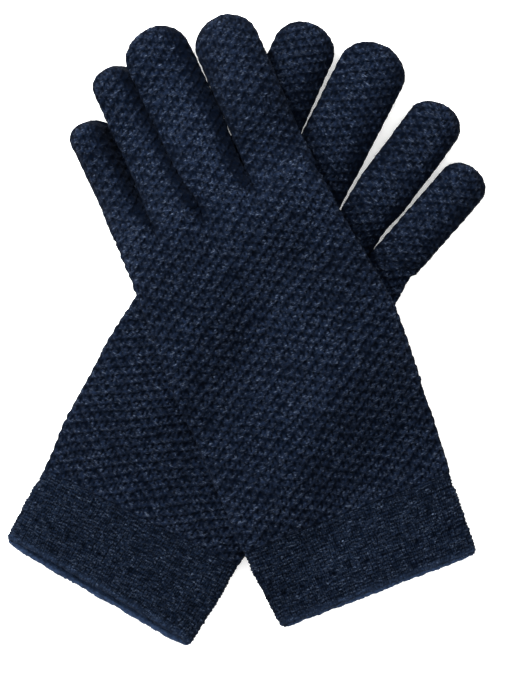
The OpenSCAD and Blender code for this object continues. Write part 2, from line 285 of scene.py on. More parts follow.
def gridFaces(rows, columns, first=0, closedRows=False):
    # one quad between each pair of rows and columns; the last column meets the first
    last = rows if closedRows else rows - 1
    j, i = np.meshgrid(np.arange(last), np.arange(columns), indexing="ij")
    k, l = (j + 1) % rows, (i + 1) % columns
    corners = [j * columns + i, j * columns + l, k * columns + l, k * columns + i]
    return np.stack(corners, -1).reshape(-1, 4) + first


def gridUv(u, v, turn, closedRows=False):
    # the cloth's own coordinates at each quad's corners, in centimetres; the last column ends a full turn on
    u = np.concatenate([u, u[:, :1] + turn], axis=1)
    v = np.concatenate([v, v[:, :1]], axis=1)
    if closedRows:
        u, v = np.concatenate([u, u[:1]]), np.concatenate([v, v[:1]])
    corners = [np.stack([t[:-1, :-1], t[:-1, 1:], t[1:, 1:], t[1:, :-1]], -1).reshape(-1, 4) for t in (u, v)]
    return np.stack(corners, -1) / clothUnit


hair = {"perPiece": 1500, "length": 1.7, "thickness": 0.055, "sunk": 0.25}   # stray fibres on one piece


def addHairs(points, quads, seed):
    # stray fibres: at a random quad, a bent path leaves the surface and three-sided rings shrink along it:
    # place = base + out*lift + side*drift, with lift = length*(t - 0.45*t*t) and drift = length*lean*t*t
    rng = np.random.default_rng(seed)
    a, b, c = (points[quads[:, k]] for k in (0, 1, 3))
    out = np.cross(b - a, c - a)
    size = np.linalg.norm(out, axis=1)
    chosen = rng.choice(len(quads), hair["perPiece"], p=size / size.sum())
    out = out[chosen] / size[chosen, None]
    base = points[quads[chosen]].mean(axis=1)
    side = np.cross(out, rng.normal(size=(len(chosen), 3)))
    side = side / np.linalg.norm(side, axis=1, keepdims=True)
    length = hair["length"] * (0.35 + 1.1 * rng.random(len(chosen)) ** 2)[:, None, None, None]
    t = np.linspace(0, 1, 4)[None, :, None, None]
    around = 2 * np.pi / 3 * np.arange(3)[None, None, :, None]
    lean = (0.4 + 1.2 * rng.random(len(chosen)))[:, None, None, None]
    out, side, base = (v[:, None, None, :] for v in (out, side, base))
    across = np.cross(out, side)
    width = hair["thickness"] * (1 - 0.8 * t)
    path = base + out * (length * (t - 0.45 * t * t) - hair["sunk"]) + side * length * lean * t * t
    rings = path + width * (np.cos(around) * across + np.sin(around) * np.cross(side + out * 0.5, across))
    # four rings of three points make twelve to a fibre: three sides between rings, and a cap at each end
    first = np.arange(len(chosen))[:, None, None] * 12
    j, i = np.arange(3)[None, :, None] * 3, np.arange(3)[None, None, :]
    k = (i + 1) % 3
    faces = np.stack([first + j + i, first + j + k, first + j + 3 + k, first + j + 3 + i], -1).reshape(-1, 4)
    caps = np.concatenate([first[:, 0] + np.array([[2, 1, 0]]), first[:, 0] + np.array([[9, 10, 11]])])
    return rings.reshape(-1, 3), faces + len(points), caps + len(points)


def writeMesh(name, points, quads, triangles, uvs, relief, material, foldHighlight=None):
    # points, faces, the cloth's coordinates and the stitch height, with the painted shade in it, go into one
    # smooth-shaded mesh, with any painted fold highlight beside them; the knit stays above the table, and the
    # faces are turned round if the volume they enclose comes out below zero
    points = np.concatenate([points[:, :2], np.maximum(points[:, 2:], clearOfTable)], axis=1)
    a, b, c, d = (points[quads[:, k]] for k in range(4))
    volume = np.sum(a * np.cross(b, c)) + np.sum(a * np.cross(c, d))
    if volume < 0:
        quads, triangles, uvs = quads[:, ::-1], triangles[:, ::-1], uvs[:, ::-1]
    relief = relief.ravel()
    if "chain" not in name and "facing" not in name:
        hairPoints, hairQuads, hairEnds = addHairs(points, quads[:len(uvs)], len(name) + len(points))
        points = np.concatenate([points, hairPoints])
        quads, triangles = np.concatenate([quads, hairQuads]), np.concatenate([triangles, hairEnds])
        relief = np.concatenate([relief, np.full(len(hairPoints), hairHeight)])
        hairUvs = np.repeat(points[hairQuads[:, 0]][:, None, :2] / clothUnit, 4, axis=1)
        uvs = np.concatenate([uvs, hairUvs])
    mesh = bpy.data.meshes.new(name)
    mesh.from_pydata((points * mm).tolist(), [], quads.tolist() + triangles.tolist())
    uvLayer = mesh.uv_layers.new(name="Cloth")
    flat = np.zeros((len(mesh.loops), 2), np.float32)
    flat[:uvs.shape[0] * 4] = uvs.reshape(-1, 2)
    uvLayer.data.foreach_set("uv", flat.ravel())
    layer = mesh.attributes.new("stitchHeightAndShade", "FLOAT", "POINT")
    layer.data.foreach_set("value", relief.astype(np.float32).ravel())
    # a second attribute carries the painted highlight on the cuff's fold
    if foldHighlight is not None:
        highlightLayer = mesh.attributes.new("paintedFoldHighlight", "FLOAT", "POINT")
        foldHighlight = np.concatenate([foldHighlight.ravel(), np.zeros(len(points) - foldHighlight.size)])
        highlightLayer.data.foreach_set("value", foldHighlight.astype(np.float32))
    mesh.polygons.foreach_set("use_smooth", [True] * len(mesh.polygons))
    mesh.materials.append(material)
    mesh.update()
    piece = bpy.data.objects.new(name, mesh)
    bpy.context.scene.collection.objects.link(piece)
    print("  ", name, len(quads) * 2 + len(triangles), "triangles")
    return piece


# wool
def linear(hexColour):
    # an sRGB hex colour as linear red, green, blue and 1
    parts = [int(hexColour[k:k + 2], 16) / 255 for k in (1, 3, 5)]
    return [p / 12.92 if p <= 0.04045 else ((p + 0.055) / 1.055) ** 2.4 for p in parts] + [1.0]


def addNode(tree, kind, settings=None, links=None):
    # a node with its settings (sockets by name or number, else properties) and its incoming links
    node = tree.nodes.new(kind)
    for key, value in (settings or {}).items():
        if isinstance(key, int) or key in node.inputs:
            node.inputs[key].default_value = value
        else:
            setattr(node, key, value)
    for key, source in (links or {}).items():
        tree.links.new(source, node.inputs[key])
    return node


# the last colour in each is a painted highlight for the fold at the cuff's mouth
wool = {
    "mossWool": {  # lambswool yarn: matt, hairy, flecked; painted shade keeps the pits between stitches dark
        "pitShade": "#000208", "yarn": "#080f1c", "fibre": "#3f4755", "fibreShare": 0.85, "foldHighlight": "#172133",
        "fibreLength": 1.7, "fibreWidth": 0.4, "pitShadeEnds": 0.24,
    },
    "cuffWool": {  # the same yarn worked finer, so closer and a little lighter; its pits take painted shade too
        "pitShade": "#000208", "yarn": "#080f1b", "fibre": "#404958", "fibreShare": 0.85, "foldHighlight": "#26344c",
        "fibreLength": 1.5, "fibreWidth": 0.38, "pitShadeEnds": 0.34,
    },
}


def makeWool(name):
    # colour = (painted pit shade to yarn by stitch height, fibre by the fibre noise, painted fold highlight
    # by its attribute) * fleck * drift
    w = wool[name]
    material = bpy.data.materials.new(name)
    material.use_nodes = True
    tree = material.node_tree
    tree.nodes.clear()
    cloth = addNode(tree, "ShaderNodeUVMap", {"uv_map": "Cloth"})
    place = addNode(tree, "ShaderNodeTexCoord")
    stitch = addNode(tree, "ShaderNodeAttribute", {"attribute_name": "stitchHeightAndShade"})
    # fibres lie two ways across the yarn, each a stretched noise; the cloth's unit is a centimetre
    lies = []
    for angle in (38, -41):
        turned = addNode(tree, "ShaderNodeMapping",
                         {"Rotation": (0, 0, math.radians(angle)),
                          "Scale": (10 / w["fibreLength"], 10 / w["fibreWidth"], 1)},
                         {"Vector": cloth.outputs["UV"]})
        noise = addNode(tree, "ShaderNodeTexNoise",
                        {"Scale": 1.0, "Detail": 2.0, "Roughness": 0.6, "Distortion": 0.9},
                        {"Vector": turned.outputs["Vector"]})
        lies.append(noise)
    both = addNode(tree, "ShaderNodeMath", {"operation": "MAXIMUM"},
                   {0: lies[0].outputs["Fac"], 1: lies[1].outputs["Fac"]})
    fibre = addNode(tree, "ShaderNodeMapRange",
                    {"interpolation_type": "SMOOTHSTEP", "From Min": 0.57, "From Max": 0.74},
                    {"Value": both.outputs[0]})
    # flecks where the dye took unevenly, about 1.1 mm, and a broad drift of tone, about 35 mm
    fleck = addNode(tree, "ShaderNodeTexNoise", {"Scale": 900.0, "Detail": 1.0},
                    {"Vector": place.outputs["Object"]})
    drift = addNode(tree, "ShaderNodeTexNoise", {"Scale": 28.0, "Detail": 1.0},
                    {"Vector": place.outputs["Object"]})
    # painted shade: low stitch heights, with the sides and grooves darkened in the attribute, take the
    # near-black pit colour, and the light fibres fade out with them
    lifted = addNode(tree, "ShaderNodeMapRange", {"From Min": w["pitShadeEnds"], "From Max": 0.9},
                     {"Value": stitch.outputs["Fac"]})
    body = addNode(tree, "ShaderNodeMix", {"data_type": "RGBA", 6: linear(w["pitShade"]), 7: linear(w["yarn"])},
                   {0: lifted.outputs["Result"]})
    onCrest = addNode(tree, "ShaderNodeMath", {"operation": "MULTIPLY"},
                      {0: fibre.outputs["Result"], 1: lifted.outputs["Result"]})
    fibreShare = addNode(tree, "ShaderNodeMath", {"operation": "MULTIPLY", 1: w["fibreShare"]},
                         {0: onCrest.outputs[0]})
    hairy = addNode(tree, "ShaderNodeMix", {"data_type": "RGBA", 7: linear(w["fibre"])},
                    {0: fibreShare.outputs[0], 6: body.outputs[2]})
    # painted highlight on the cuff's fold, mixed in by its attribute
    paintedFoldHighlight = addNode(tree, "ShaderNodeAttribute", {"attribute_name": "paintedFoldHighlight"})
    highlighted = addNode(tree, "ShaderNodeMix", {"data_type": "RGBA", 7: linear(w["foldHighlight"])},
                    {0: paintedFoldHighlight.outputs["Fac"], 6: hairy.outputs[2]})
    tones = []
    for noise, darkest, palest in ((fleck, 0.6, 1.45), (drift, 0.9, 1.1)):
        tones.append(addNode(tree, "ShaderNodeMapRange",
                             {"From Min": 0.3, "From Max": 0.7, "To Min": darkest, "To Max": palest},
                             {"Value": noise.outputs["Fac"]}))
    tone = addNode(tree, "ShaderNodeMath", {"operation": "MULTIPLY"},
                   {0: tones[0].outputs["Result"], 1: tones[1].outputs["Result"]})
    colour = addNode(tree, "ShaderNodeMix", {"data_type": "RGBA", "blend_type": "MULTIPLY", 0: 1.0},
                     {6: highlighted.outputs[2], 7: tone.outputs[0]})
    fine = addNode(tree, "ShaderNodeTexNoise", {"Scale": 3000.0, "Detail": 2.0},
                   {"Vector": place.outputs["Object"]})
    rough = addNode(tree, "ShaderNodeMath", {"operation": "ADD"},
                    {0: both.outputs[0], 1: fine.outputs["Fac"]})
    bump = addNode(tree, "ShaderNodeBump", {"Strength": 0.6, "Distance": 0.0004},
                   {"Height": rough.outputs[0]})
    roughness = addNode(tree, "ShaderNodeMapRange", {"To Min": 0.88, "To Max": 1.0},
                        {"Value": fleck.outputs["Fac"]})
    shader = addNode(tree, "ShaderNodeBsdfPrincipled",
                     {"IOR": 1.5, "Specular IOR Level": 0.02, "Sheen Weight": 0.02, "Sheen Roughness": 0.6,
                      "Sheen Tint": linear("#8ea0c4")},
                     {"Base Color": colour.outputs[2], "Roughness": roughness.outputs["Result"],
                      "Normal": bump.outputs["Normal"]})
    addNode(tree, "ShaderNodeOutputMaterial", links={"Surface": shader.outputs["BSDF"]})
    return material


mossWool = makeWool("mossWool")
cuffWool = makeWool("cuffWool")
print("wool mixed")


# fingers: where each is rooted, which way it points, and how it lies against the next one
fingers = {
    # root across, heading, root width, width, length; then for the low and the high side of u:
    # reach = how far its lower half slips under the next finger, edge = where its side stands, bulge = extra
    # width, and last the painted shade: how dark the knit is painted where it turns down beside the next
    # finger
    "left_index": {"u": 24.2, "heading": -2.3, "rootWidth": 25.4, "width": 25.8, "length": 68.5,
                   "reach": (0, 0), "edge": (0, 0), "bulge": (0.7, 0), "grooveShade": (0.4, 0.3)},
    "left_middle": {"u": -0.5, "heading": -4.0, "rootWidth": 21.8, "width": 26.2, "length": 74.4,
                    "reach": (0, 0), "edge": (0.35, 0), "bulge": (1.6, -0.4), "grooveShade": (0.3, 0.95)},
    "left_ring": {"u": -22.1, "heading": -4.4, "rootWidth": 19.0, "width": 18.0, "length": 65.4,
                  "reach": (0, 2.6), "edge": (0.35, -0.5), "bulge": (0.2, 0), "grooveShade": (0.3, 1.0)},
    "left_little": {"u": -40.5, "heading": -4.8, "rootWidth": 15.4, "width": 15.4, "length": 48.4,
                    "reach": (0, 3.0), "edge": (0, -0.5), "bulge": (0, 0.6), "grooveShade": (0.2, 1.0)},
    "right_index": {"u": -21, "heading": -2.6, "rootWidth": 25.4, "width": 25.4, "length": 72.6,
                    "reach": (0, 0), "edge": (0, 0), "bulge": (0, 0.4), "grooveShade": (0.3, 0.6)},
    "right_middle": {"u": 4.3, "heading": 0.6, "rootWidth": 26.4, "width": 27.2, "length": 77.4,
                     "reach": (0, 0), "edge": (0, 0), "bulge": (0.7, 0.3), "grooveShade": (0.3, 0.6)},
    "right_ring": {"u": 27.8, "heading": 10.2, "rootWidth": 17.0, "width": 21.4, "length": 67.6,
                   "reach": (0, 0), "edge": (0, 0), "bulge": (2.3, -0.7), "grooveShade": (0.3, 0.6)},
    "right_little": {"u": 46.9, "heading": 14.4, "rootWidth": 19.0, "width": 18.6, "length": 50.8,
                     "reach": (0, 0), "edge": (0, 0), "bulge": (0.6, 1.1), "grooveShade": (0.3, 0.6)},
}
finger = {
    "square": 2.15, "rootThickness": 10, "thickness": 12, "tipShare": 0.46, "inset": 0.35, "wall": 1.8,
    "rootWiden": 0.9, "tuckedIn": 2.4, "rootSink": 1.2,   # wider at the root, which is tucked into the hand
    "tipTurn": np.pi / 2 * 0.985,           # how far round the tip goes before its pole closes it
    "relief": 0.8,                          # a share of the hand's
    "dome": {"left": 0.3, "right": 0.1},    # how much higher the upper half stands, as a share
    # how dark the painted shade beside the next finger gets at most
    "paintedGrooveDepth": 0.8,
}


def leanOn(x, z, a, b, f, share):
    # beside a neighbour, k = |x|/a: x moves out by (reach*exp(-((z/b+0.5)/0.5)^2) + bulge)*k^3, and z by
    # edge*b*k^2*(1-(z/b)^2)
    low, high = np.clip(-x / a, 0, 1), np.clip(x / a, 0, 1)
    rel = z / b
    foot = np.exp(-((rel + 0.5) / 0.5) ** 2)
    outHigh, outLow = (f["reach"][k] * foot + f["bulge"][k] for k in (1, 0))
    out = high ** 3 * outHigh - low ** 3 * outLow
    up = b * (1 - rel ** 2) * (f["edge"][0] * low ** 2 + f["edge"][1] * high ** 2)
    return x + share * out, z + share * up


def makeFinger(name, level):
    # rings along a straight line from the root, width and thickness easing from root to middle, and a rounded
    # tip: past the straight part the ring shrinks by cos q while it moves on by tip*sin q; above its middle a
    # ring's height is multiplied by 1 + dome
    f = fingers[name]
    glove = name.split("_")[0]
    tip = f["width"] * finger["tipShare"]
    straight = f["length"] - tip
    theta, arc, half, whole = evenAngles(f["width"] / 2, finger["thickness"] / 2, finger["square"],
                                         knit["fineStep"], knit["underStep"])
    step = knit["fineStep"]
    s = np.concatenate([np.arange(-finger["tuckedIn"], straight, step), [straight]])
    q = np.linspace(0, finger["tipTurn"], int(tip * 1.35 / step))[1:]
    wales = 2 * round(whole / knit["wale"] / 2)
    pitch = whole / wales
    topArc = half / 2
    underArc = (half + whole) / 2

    def rings(s, q, inset):
        along = np.concatenate([s, straight + (tip - inset) * np.sin(q)])[:, None]
        shrink = np.concatenate([np.ones(len(s)), np.cos(q)])[:, None]
        grow = ramp(0, f["length"] * 0.4, along)
        a = (f["rootWidth"] + (f["width"] - f["rootWidth"]) * grow) / 2
        a = a + finger["rootWiden"] * (1 - ramp(0, 14, along))
        inset = inset + finger["rootSink"] * ramp(0.6, -finger["tuckedIn"], along)
        a = (a - inset) * shrink
        centre = (finger["rootThickness"] + (finger["thickness"] - finger["rootThickness"]) * grow) / 2
        b = (centre - inset) * shrink
        x, z = tubeSection(theta[None, :], a, b, finger["square"])
        z = np.where(z > 0, z * (1 + finger["dome"][glove] * ramp(4, 36, along)), z)
        x, z = leanOn(x, z, a, b, f, ramp(0, 12, along) * shrink)
        turn = np.radians(f["heading"]) * ramp(0, 26, along)
        heading = math.radians(f["heading"])
        u = f["u"] + along * math.sin(heading) + x * np.cos(turn)
        v = hand["length"] + along * math.cos(heading) - x * np.sin(turn)
        px, py = plan(glove, u, v)
        return px, py, centre + z, along, shrink

    px, py, pz, along, shrink = rings(s, q, finger["inset"])
    # painted shade: the colour darkens along each side of the finger that turns down beside the next one
    k = np.cos(theta)[None, :]
    k = np.sign(k) * np.abs(k) ** (2 / finger["square"])
    shadeSides = f["grooveShade"][0] * ramp(0.5, 1.0, -k) + f["grooveShade"][1] * ramp(0.1, 0.88, k)
    paintedShade = 1 - finger["paintedGrooveDepth"] * shadeSides * shrink ** 0.5
    upper = (arc <= half)[None, :]
    a = np.where(upper, (topArc - arc) * shrink, topArc - underArc - (arc - underArc) * shrink)
    a = a + round(f["u"] / knit["wale"] / 2) * 2 * pitch
    r = (hand["length"] + along) / knit["row"] + 0 * a
    seed = sum(ord(c) for c in name)
    relief = stitchRelief("moss", a / pitch, r, seed)
    surface = np.stack([px, py, pz], -1)
    swell = 0.3 * (softNoise(px / 11, py / 11, seed) - 0.5)
    out = normalsOf(surface)
    tipFade = 1 - 0.85 * ramp(0.86, 1.0, np.concatenate([np.zeros(len(s)), q / (np.pi / 2)]))[:, None]
    push = reliefShare(out) * (relief - knit["level"]) * knit["relief"] * finger["relief"] * tipFade + swell
    surface = surface + out * push[..., None]
    surface[..., 2] = surface[..., 2] + levelAt(level, surface[..., 0], surface[..., 1])
    fewS, fewQ = np.linspace(0, straight, 14), np.radians([25, 48, 66, 80])
    ix, iy, iz, _, _ = rings(fewS, fewQ, finger["inset"] + finger["wall"])
    inner = np.stack([ix, iy, iz + levelAt(level, ix, iy)], -1)
    # the colour's stitch height, with painted shade on the upright sides and beside the next finger
    seen = relief * paintedSideShade(out) * paintedShade
    return closedTube(name + "_knit", surface, inner, a, r * knit["row"], whole, seen)


def closedTube(name, surface, inner, a, r, turn, relief):
    # outer rings, inner rings and two poles; the two root rings are joined by a rim
    rows, columns = surface.shape[:2]
    few = len(inner)
    points = np.concatenate([surface.reshape(-1, 3), inner.reshape(-1, 3),
                             surface[-1].mean(0)[None], inner[-1].mean(0)[None]])
    outerFaces = gridFaces(rows, columns)
    innerFaces = gridFaces(few, columns, rows * columns)[:, ::-1]
    i = np.arange(columns)
    n = (i + 1) % columns
    rim = np.stack([i, i + rows * columns, n + rows * columns, n], -1)
    pole, innerPole = rows * columns + few * columns, rows * columns + few * columns + 1
    last, innerLast = (rows - 1) * columns, (rows + few - 1) * columns
    tips = np.concatenate([np.stack([last + i, last + n, np.full(columns, pole)], -1),
                           np.stack([innerLast + n, innerLast + i, np.full(columns, innerPole)], -1)])
    uvs = gridUv(a, r, -turn)
    rest = np.zeros((len(innerFaces) + len(rim), 4, 2))
    unseen = knit["fineLevel"]
    heights = np.concatenate([relief.ravel(), np.full(few * columns, unseen), [relief[-1].mean(), unseen]])
    return writeMesh(name, points, np.concatenate([outerFaces, innerFaces, rim]), tips,
                     np.concatenate([uvs, rest]), heights, mossWool)


def ringTube(name, surface, a, r, turn, relief, material, foldHighlight=None):
    # a grid closed both ways: out along the outside, over the rim, back inside and over the other rim
    rows, columns = surface.shape[:2]
    faces = gridFaces(rows, columns, closedRows=True)
    uvs = gridUv(a, r, -turn, closedRows=True)
    uvs[-columns:] = uvs[-columns * 2:-columns]
    noTriangles = np.zeros((0, 3), int)
    return writeMesh(name, surface.reshape(-1, 3), faces, noTriangles, uvs, relief, material, foldHighlight)


# hands
def lobes(glove, x):
    # half-thickness of the finger roots at x: the highest of b*(1-|(x-u)/a|^n)^(1/n)
    best = np.zeros_like(x)
    for name, f in fingers.items():
        if name.startswith(glove):
            a = f["rootWidth"] / 2 + finger["rootWiden"] - finger["inset"]
            share = np.clip(1 - np.abs((x - f["u"]) / a) ** finger["square"], 0, 1) ** (1 / finger["square"])
            best = np.maximum(best, share * (finger["rootThickness"] / 2 - finger["inset"]))
    return best


def makeHand(glove, level):
    # a tube from the cuff to the finger roots: half-width from the two edges, thickness straight from the
    # cuff's to the roots', and over its last stretch the section eases into the four finger roots
    base = hand["inset"]
    start, end = hand["cuffHeight"] + 0.05, hand["length"] + hand["overlap"]
    theta, arc, half, whole = evenAngles(hand["halfWidth"], hand["thickness"] / 2, hand["square"],
                                         knit["handStep"], 1.2)
    v = np.linspace(start, end, int((end - start) / knit["handStep"]))
    wales = 2 * round(whole / knit["wale"] / 2)
    pitch = whole / wales

    def rings(v, inset):
        v = v[:, None]
        low, high = edgeAt(glove, "lowEdge", v), edgeAt(glove, "highEdge", v)
        share = (v - hand["cuffHeight"]) / (hand["length"] - hand["cuffHeight"])
        centre = (hand["cuffThickness"] + (hand["thickness"] - hand["cuffThickness"]) * share) / 2
        inset = inset + hand["sink"] * ramp(hand["length"] - 0.6, end, v)
        a, b = (high - low) / 2 - inset, centre - inset
        x, z = tubeSection(theta[None, :], a, b, hand["square"])
        u = (low + high) / 2 + x
        root = lobes(glove, u) * (b / (hand["thickness"] / 2 - base))
        easing = ramp(hand["length"] - hand["rootEase"], hand["length"], v) ** 1.6
        z = z + easing * (np.sign(z) * np.minimum(root, 9) - z)
        px, py = plan(glove, u, v + 0 * u)
        return px, py, centre + z, u

    px, py, pz, u = rings(v, base)
    a = np.broadcast_to(half / 2 - arc[None, :], px.shape)
    r = np.broadcast_to(v[:, None] / knit["row"], px.shape)
    seed = 11 if glove == "left" else 29
    relief = stitchRelief("moss", a / pitch, r, seed)
    surface = np.stack([px, py, pz], -1)
    swell = 0.9 * (softNoise(px / 24, py / 24, seed) - 0.5)
    swell = swell + 0.5 * (softNoise(px / 9, py / 9, seed + 9) - 0.5)
    edgeFade = ramp(0, 2.0, v - start)[:, None]
    out = normalsOf(surface)
    push = (reliefShare(out) * (relief - knit["level"]) * knit["relief"] + swell) * edgeFade
    surface = surface + out * push[..., None]
    surface[..., 2] = surface[..., 2] + levelAt(level, surface[..., 0], surface[..., 1])
    innerRows = 20
    few = np.linspace(end, start, innerRows)
    ix, iy, iz, _ = rings(few, base + hand["wall"])
    inner = np.stack([ix, iy, iz + levelAt(level, ix, iy)], -1)
    a = np.concatenate([a, a[:innerRows]])
    r = np.concatenate([r * knit["row"], few[:, None] + 0 * ix])
    # painted shade: between two finger roots the colour darkens on down the hand, fading over the length set
    # for it
    grooveShade = 1 - ramp(0.3, 0.95, lobes(glove, u) / (hand["thickness"] / 2))
    fade = ramp(hand["length"] - hand["grooveShadeLength"], hand["length"] + 1, v)[:, None]
    paintedShade = 1 - hand["paintedGrooveDepth"] * grooveShade * fade
    # the colour's stitch height, with painted shade on the upright sides and between the finger roots
    relief = np.concatenate([relief * paintedSideShade(out) * paintedShade, np.full(ix.shape, knit["fineLevel"])])
    return ringTube(glove + "_hand_knit", np.concatenate([surface, inner]), a, r, whole, relief, mossWool)


# cuffs
cuff = {
    "base": 0.75, "foldRadius": 1.4, "highlightWidth": 1.3, "wall": 1.3, "halfWidth": 42.5, "step": 0.42,
    "eyeletEvery": 7.2, "eyeletAt": 12, "eyeletSize": 0.95,
    "facingHeight": 28, "facingWall": 1.1, "insideHalfWidth": 41,
    "linkInset": 0.75, "linkRadius": 0.42, "linkSwell": 0.13, "linkStep": 0.55,   # the chain's loops
}


def sleevePoints(glove, inset, v, theta):
    # the cuff's ring at each (inset, v): width from the edges, with the mouth's edge slanting and its lower
    # layer reaching further out by peek*(1 - z/b)/2
    g = lay[glove]
    low, high = edgeAt(glove, "lowEdge", v), edgeAt(glove, "highEdge", v)
    centre = hand["cuffThickness"] / 2
    a, b = (high - low) / 2 - inset, centre - inset
    x, z = tubeSection(theta[None, :], a, b, hand["square"])
    near = np.clip(1 - v / hand["cuffHeight"], 0, 1)
    drop = near * (g["peek"] * (b - z) / (2 * b) + math.tan(math.radians(g["slant"])) * x)
    px, py = plan(glove, (low + high) / 2 + x, v - drop)
    return px, py, centre + z


def makeCuff(glove, level):
    # profile of the band: down the outside, round the fold at the mouth as a half circle, and back up inside
    theta, arc, half, whole = evenAngles(cuff["halfWidth"], hand["cuffThickness"] / 2, hand["square"],
                                         cuff["step"], 0.9)
    fold, top, base = cuff["foldRadius"], hand["cuffHeight"], cuff["base"]
    t = np.linspace(0, np.pi, 9)
    vOut = np.linspace(top, fold, int((top - fold) / cuff["step"]))
    vIn = np.linspace(fold + 1, top, 8)
    v = np.concatenate([vOut, fold * (1 - np.sin(t[1:])), vIn])
    inset = np.concatenate([base + 0 * vOut, base + fold * (1 - np.cos(t[1:])),
                            np.full(len(vIn), base + cuff["wall"])])
    px, py, pz = sleevePoints(glove, inset[:, None], v[:, None], theta)
    wales = 2 * round(whole / knit["cuffWale"] / 2)
    pitch = whole / wales
    a = np.broadcast_to(half / 2 - arc[None, :], px.shape)
    along = np.concatenate([vOut, fold - fold * t[1:], -fold * np.pi - vIn])
    r = np.broadcast_to(along[:, None], px.shape)
    seed = 41 if glove == "left" else 57
    relief = stitchRelief("plain", a / pitch, r / knit["cuffRow"], seed)
    holes = max(1, round(whole / cuff["eyeletEvery"]))
    spacing = whole / holes
    across = (a / spacing + 0.5) % 1 - 0.5
    distance = np.hypot(across * spacing, r - cuff["eyeletAt"])
    eyelet = np.exp(-(distance / cuff["eyeletSize"]) ** 2)
    eyelet = eyelet * (0.25 + 0.75 * softNoise(a / 9, r / 9, seed + 8))
    # painted shade in the eyelets: their stitch height is cut, so the holes take the pit colour
    relief = np.clip(relief * (1 - 0.9 * eyelet), 0, 1.2)
    # the knit is drawn in along the line where the hem is linked, and the doubled hem is a little fuller
    link = np.exp(-((r - cuff["facingHeight"]) / 0.9) ** 2)
    full = 0.35 * ramp(0, 5, r) * (1 - ramp(24, 30, r))
    surface = np.stack([px, py, pz], -1)
    outside = (np.arange(len(v)) < len(vOut) + 6)[:, None]
    swell = 0.7 * (softNoise(px / 17, py / 17, seed) - 0.5)
    push = (relief - knit["fineLevel"]) * knit["cuffRelief"] - 0.7 * eyelet + full + swell - 0.25 * link
    push = push * outside * ramp(0, 1.2, top - v)[:, None]
    # the rows run down the outside here, so the cross product points inwards
    surface = surface - normalsOf(surface) * push[..., None]
    surface[..., 2] = surface[..., 2] + levelAt(level, surface[..., 0], surface[..., 1])
    relief = np.where(outside, relief, knit["fineLevel"])
    # painted highlight on the fold at the mouth: a little along the upper layer, more inside the lower one
    highlightUp = 0.25 * np.exp(-((r - 0.6) / cuff["highlightWidth"]) ** 2)
    highlightDown = 0.9 * (1 - ramp(0, 2.5, r)) * ramp(-12, -6, r)
    patchy = 0.5 + 0.7 * softNoise(a / 1.5, r / 1.2, seed + 6)
    foldHighlight = np.where(pz > hand["cuffThickness"] / 2, highlightUp, highlightDown) * patchy
    return ringTube(glove + "_cuff_knit", surface, a, r, whole, relief, cuffWool, np.clip(foldHighlight, 0, 1))


def makeFacing(glove, level):
    # the turned-in hem: a closed band inside the cuff, from just behind the fold to its linked edge; it goes
    # down against the band and comes back up on the side that the hand touches
    theta, arc, half, whole = evenAngles(cuff["insideHalfWidth"], 3.5, hand["square"], 0.9, 1.1)
    outside, inside = cuff["base"] + cuff["wall"] + 0.05, cuff["base"] + cuff["wall"] + cuff["facingWall"]
    low, high = cuff["foldRadius"] * 2 - 0.2, cuff["facingHeight"]
    down, up = 8, 26
    v = np.concatenate([np.linspace(high, low, down), np.linspace(low, high, up)])
    inset = np.concatenate([np.full(down, outside), np.full(up, inside)])
    px, py, pz = sleevePoints(glove, inset[:, None], v[:, None], theta)
    a = np.broadcast_to(half / 2 - arc[None, :], px.shape)
    r = np.broadcast_to(v[:, None], px.shape)
    relief = stitchRelief("plain", a / knit["cuffWale"], r / knit["cuffRow"], 71)
    surface = np.stack([px, py, pz], -1)
    seen = (np.arange(down + up) > down)[:, None]
    push = (relief - knit["fineLevel"]) * knit["facingRelief"] * seen
    surface = surface + normalsOf(surface) * push[..., None]
    surface[..., 2] = surface[..., 2] + levelAt(level, surface[..., 0], surface[..., 1])
    return ringTube(glove + "_cuff_facing_knit", surface, a, r, whole, relief, cuffWool)


def makeLink(glove, level):
    # a chain of loops round the inside of the cuff: a thin round tube along the facing's edge, whose radius
    # is linkRadius + linkSwell*cos(quarter turns), so that it swells at every fourth point
    step = cuff["linkStep"]
    theta = evenAngles(cuff["insideHalfWidth"], 3, hand["square"], step, step)[0]
    around = np.linspace(0, 2 * np.pi, 8, endpoint=False)
    n = len(theta)
    loop = cuff["linkRadius"] + cuff["linkSwell"] * np.cos(np.arange(n) * np.pi / 2)
    v = cuff["facingHeight"] + cuff["linkInset"] + np.sin(around)[:, None] * loop
    inset = cuff["base"] + cuff["wall"] + cuff["linkInset"] - np.cos(around)[:, None] * loop
    px, py, pz = sleevePoints(glove, inset, v, theta)
    surface = np.stack([px, py, pz + levelAt(level, px, py)], -1)
    a = np.broadcast_to(np.arange(n)[None, :] * step, px.shape)
    r = np.broadcast_to(around[:, None], px.shape)
    return ringTube(glove + "_cuff_link_chain", surface, a, r, n * step, np.full(px.shape, 0.7), cuffWool)


# thumbs, each with the gusset that it grows from
thumb = {"u": 31.5, "heading": 9, "width": 21, "thickness": 8.5, "length": 52, "start": 96, "inset": 0.5,
         "gusset": 38, "lean": 5, "step": 0.7}


